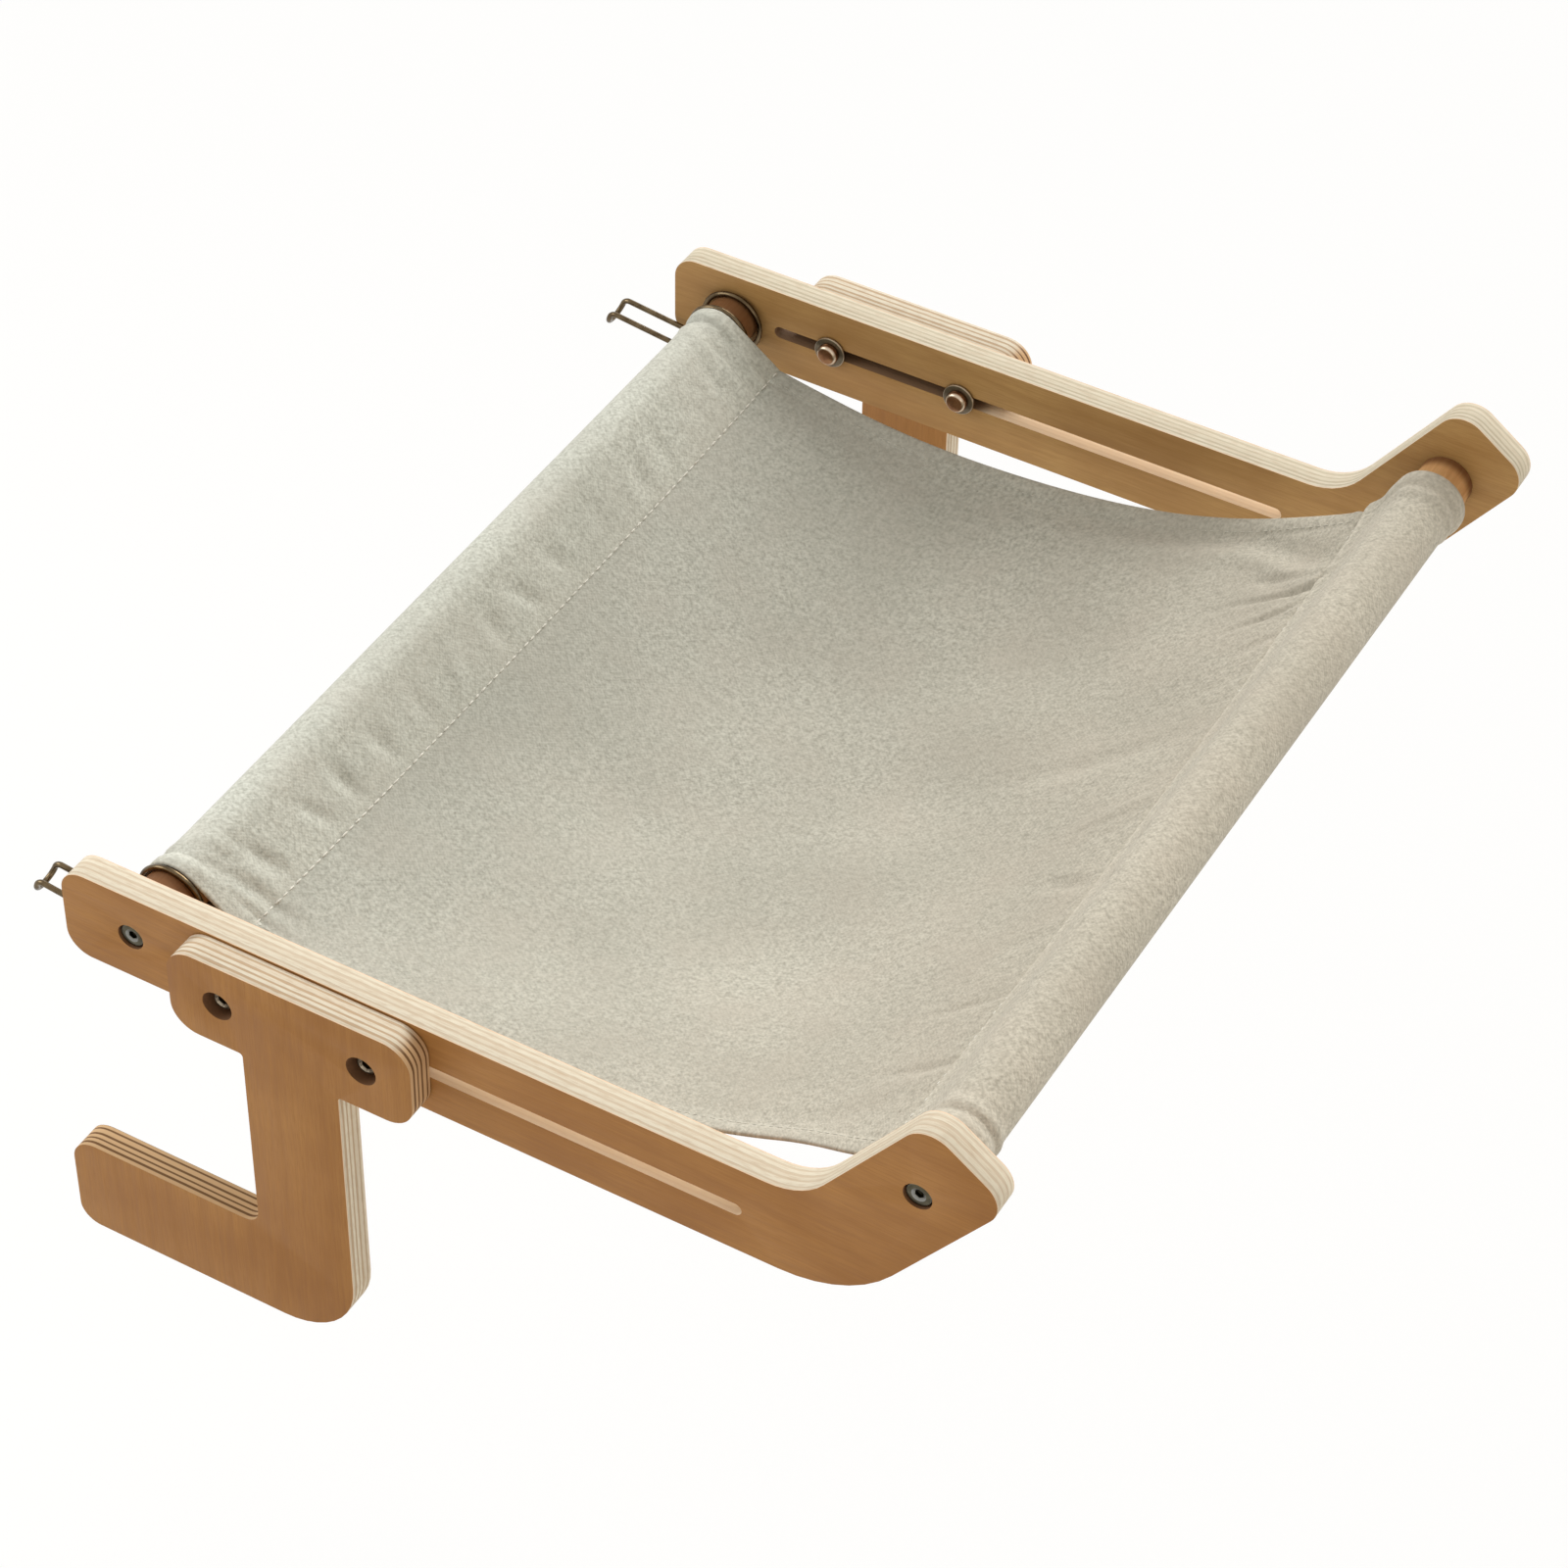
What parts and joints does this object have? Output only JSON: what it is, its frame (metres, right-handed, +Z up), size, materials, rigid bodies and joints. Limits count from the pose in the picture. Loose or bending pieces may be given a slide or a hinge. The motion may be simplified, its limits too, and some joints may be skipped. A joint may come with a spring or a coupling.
{
  "type": "cat window hammock",
  "caption": "Cat window hammock: canvas sling on dowels between bent plywood side rails, gripping the sill with sliding J-shaped hooks and wire clips at the rear.",
  "frame": {"origin": "on the left rail's flat underside, 60 mm from its rear end and halfway through its thickness, where the rail rests on the window sill", "axes": "+X from the window into the room along the rails, +Y across the hammock from the left rail to the right one as seen from the room, +Z up"},
  "size_m": [0.5156, 0.591, 0.2989],
  "materials": {
    "plywood": "oiled, pale edges with dark ply lines",
    "dowel_wood": "sanded",
    "canvas": "plain weave",
    "hardware": "zinc plated",
    "spring_wire": "bronze-toned drawn wire"
  },
  "bodies": {
    "frame": {"left_side_rail": "plywood", "right_side_rail": "plywood", "rear_dowel": "dowel_wood", "front_dowel": "dowel_wood", "canvas_sling": "canvas", "left_rear_dowel_screw": "hardware", "right_rear_dowel_screw": "hardware", "left_front_dowel_screw": "hardware", "right_front_dowel_screw": "hardware"},
    "left_hook": {"left_sill_hook": "plywood", "left_rear_hook_bolt": "hardware", "left_front_hook_bolt": "hardware", "left_rear_hook_washer": "hardware", "left_front_hook_washer": "hardware", "left_rear_hook_nut": "hardware", "left_front_hook_nut": "hardware"},
    "right_hook": {"right_sill_hook": "plywood", "right_rear_hook_bolt": "hardware", "right_front_hook_bolt": "hardware", "right_rear_hook_washer": "hardware", "right_front_hook_washer": "hardware", "right_rear_hook_nut": "hardware", "right_front_hook_nut": "hardware"},
    "left_clip": {"left_wire_clip": "spring_wire"},
    "right_clip": {"right_wire_clip": "spring_wire"}
  },
  "joints": [
    {"name": "left_hook_slide", "type": "slide", "parent": "frame", "child": "left_hook", "axis": [1, 0, 0], "range_m": [-0.03, 0.18]},
    {"name": "right_hook_slide", "type": "slide", "parent": "frame", "child": "right_hook", "axis": [1, 0, 0], "range_m": [-0.03, 0.18]},
    {"name": "left_clip_swing", "type": "hinge", "parent": "frame", "child": "left_clip", "pos_m": [-0.0225, 0.0175, 0.0247], "axis": [0, 1, 0], "range_deg": [-95, 140]},
    {"name": "right_clip_swing", "type": "hinge", "parent": "frame", "child": "right_clip", "pos_m": [-0.0225, 0.5275, 0.0247], "axis": [0, 1, 0], "range_deg": [-95, 140]}
  ]
}
